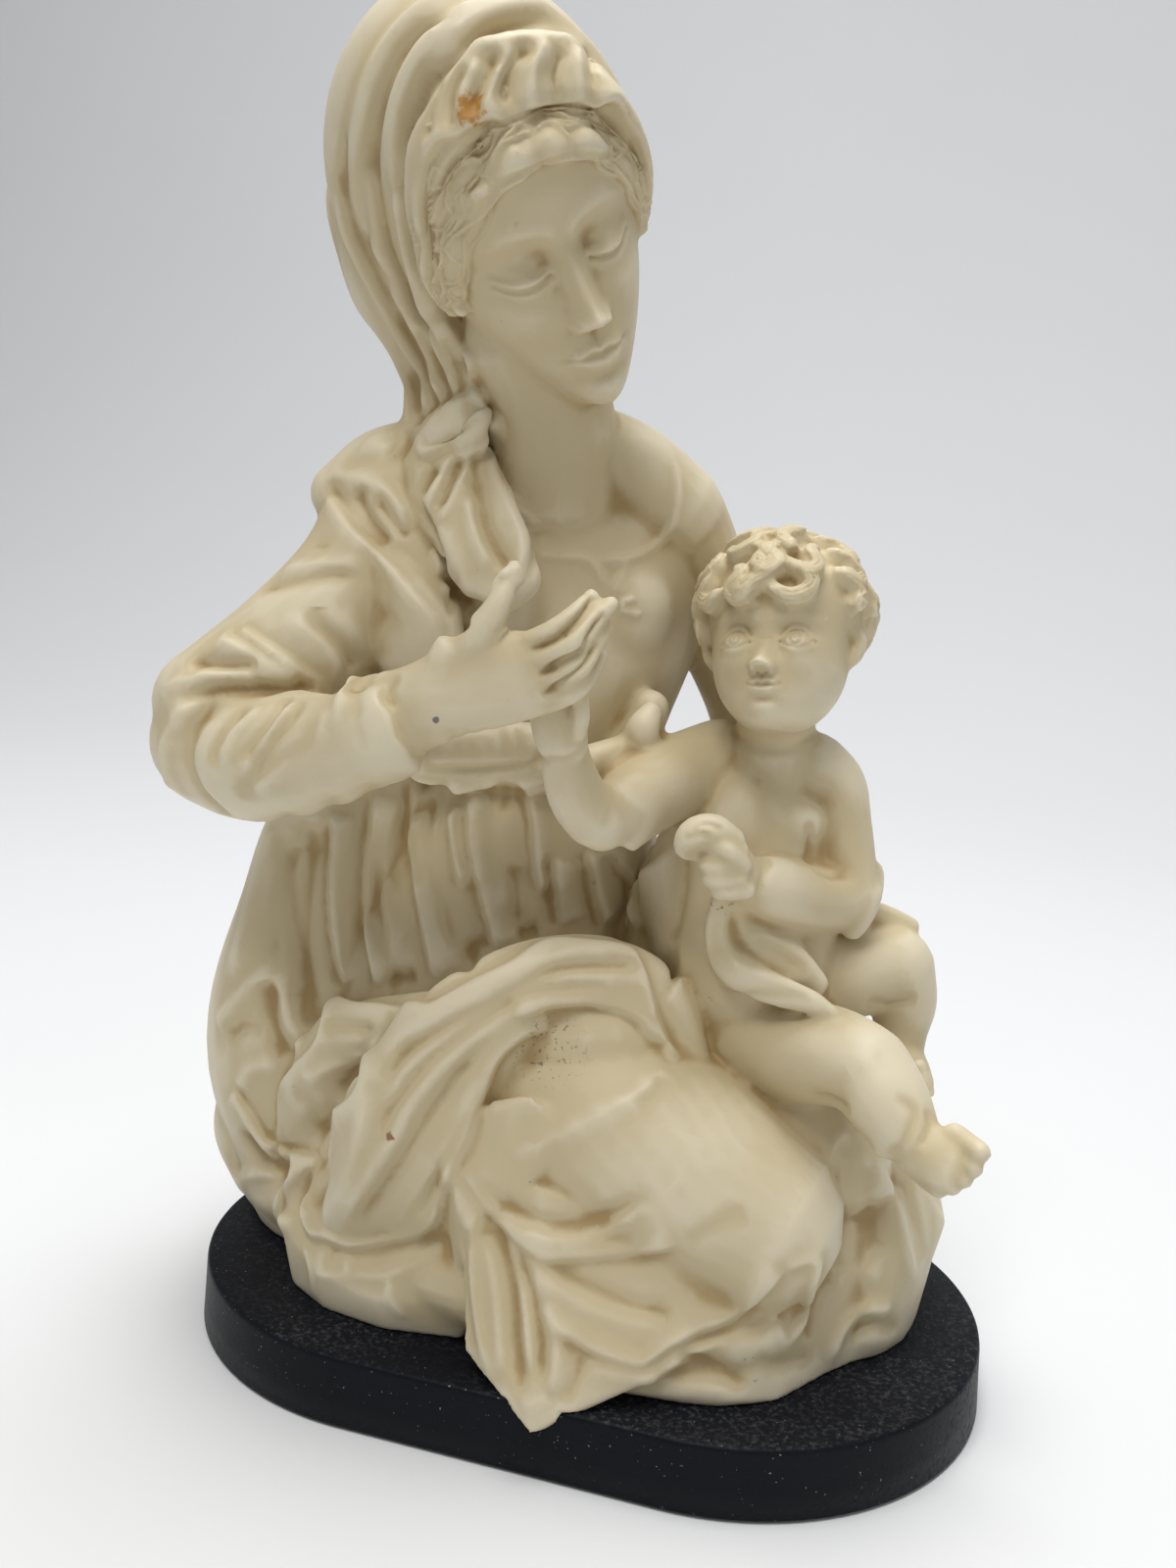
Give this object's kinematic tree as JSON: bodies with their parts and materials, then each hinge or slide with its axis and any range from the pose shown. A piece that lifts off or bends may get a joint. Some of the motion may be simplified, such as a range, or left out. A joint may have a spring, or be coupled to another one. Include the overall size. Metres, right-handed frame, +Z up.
{
  "type": "virgin and child statue",
  "caption": "Kneeling veiled mother with a child on her lap, cast in ivory resin in one, on a black base with straight sides and round ends.",
  "frame": {"origin": "centre of the base's underside", "axes": "+Z up, +X along the base to the child's side, -Y towards the front"},
  "size_m": [0.1882, 0.1161, 0.2878],
  "materials": {
    "black_base": "matt black with a fine grain, scuffed on top",
    "ivory_resin": "satin ivory with a warm wash in the hollows"
  },
  "bodies": {
    "root": {"black_base": "black_base", "mother_and_child": "ivory_resin"}
  },
  "joints": []
}
